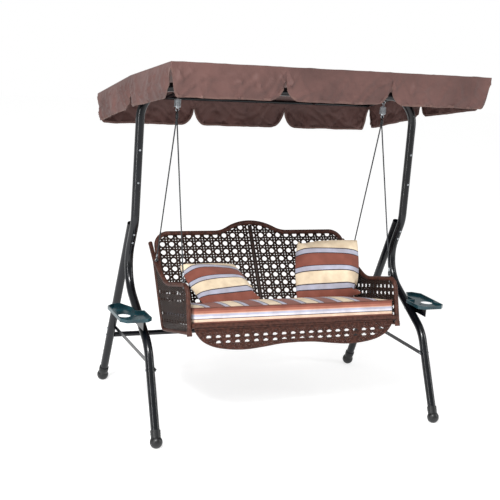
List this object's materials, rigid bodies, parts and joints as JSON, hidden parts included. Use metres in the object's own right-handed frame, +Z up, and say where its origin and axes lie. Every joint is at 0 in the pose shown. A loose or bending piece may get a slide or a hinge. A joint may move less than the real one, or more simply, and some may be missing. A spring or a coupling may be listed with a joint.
{
  "type": "glider swing",
  "caption": "Garden glider swing: tube frame with curved legs, tilting fabric canopy, side trays, and a wicker seat hung on springs and ropes.",
  "frame": {"origin": "on the floor under the middle of the top beam", "axes": "+X along the top beam to the sitter's left, the viewer's right from the front; +Y to the back of the swing; +Z up"},
  "size_m": [2.094, 1.386, 2.1063],
  "materials": {
    "black_steel": "gloss blue-black powder coat",
    "zinc_steel": "zinc plated",
    "black_plastic": "moulded, slightly shiny",
    "tray_plastic": "gloss",
    "canopy_fabric": "woven polyester, red-brown",
    "rope": "braided cord",
    "wicker_dark": "flat resin wicker, dark brown",
    "wicker_red": "flat resin wicker, red-brown",
    "cushion_fabric": "striped cotton: terracotta, cream, lavender",
    "pillow_fabric": "striped cotton: terracotta, cream, lavender"
  },
  "bodies": {
    "frame": {"top_beam": "black_steel", "upper_post_left": "black_steel", "upper_post_right": "black_steel", "front_leg_left": "black_steel", "front_leg_right": "black_steel", "rear_leg_left": "black_steel", "rear_leg_right": "black_steel", "post_sleeves": "black_steel", "beam_sleeves": "black_steel", "rear_stretcher": "black_steel", "leg_strut_left": "black_steel", "leg_strut_right": "black_steel", "foot_cap_front_left": "black_plastic", "foot_cap_front_right": "black_plastic", "foot_cap_rear_left": "black_plastic", "foot_cap_rear_right": "black_plastic", "tray_left": "tray_plastic", "tray_right": "tray_plastic", "tray_bracket_left": "black_steel", "tray_bracket_right": "black_steel", "frame_bolts": "zinc_steel", "frame_nuts": "zinc_steel", "eye_bolts": "zinc_steel", "tilt_brackets": "black_steel", "tilt_bolts": "zinc_steel"},
    "canopy": {"canopy_front_rail": "black_steel", "canopy_rear_rail": "black_steel", "canopy_side_rail_left": "black_steel", "canopy_side_rail_right": "black_steel", "canopy_spine_left": "black_steel", "canopy_spine_right": "black_steel", "canopy_cover": "canopy_fabric"},
    "hangers": {"spring_top_hooks": "zinc_steel", "spring_left": "zinc_steel", "spring_right": "zinc_steel"},
    "seat": {"spring_bottom_hooks": "zinc_steel", "rope_head_left": "black_steel", "rope_head_right": "black_steel", "front_rope_left": "rope", "front_rope_right": "rope", "rear_rope_left": "rope", "rear_rope_right": "rope", "rope_eyes": "zinc_steel", "seat_front_rail": "wicker_red", "seat_rear_rail": "wicker_dark", "seat_cross_bars": "black_steel", "arm_frame_left": "wicker_red", "arm_frame_right": "wicker_red", "side_weave_left": "wicker_dark", "side_weave_right": "wicker_dark", "back_frame": "wicker_red", "back_center_bar": "wicker_dark", "back_weave_left": "wicker_dark", "back_weave_right": "wicker_dark", "apron": "wicker_red", "seat_deck": "wicker_dark", "seat_cushion": "cushion_fabric", "pillow_left": "pillow_fabric", "pillow_right": "pillow_fabric"}
  },
  "joints": [
    {"name": "canopy_tilt", "type": "hinge", "parent": "frame", "child": "canopy", "pos_m": [0, 0, 1.96465], "axis": [1, 0, 0], "range_deg": [-5, 20]},
    {"name": "seat_swing", "type": "hinge", "parent": "frame", "child": "hangers", "pos_m": [0, 0, 1.875], "axis": [1, 0, 0], "range_deg": [-18, 18]},
    {"name": "spring_bounce", "type": "slide", "parent": "hangers", "child": "seat", "axis": [0, 0, 1], "range_m": [-0.02, 0], "stiffness_N_per_m": 20000, "springref_m": 0.02, "deforming": ["spring_left", "spring_right"]}
  ]
}
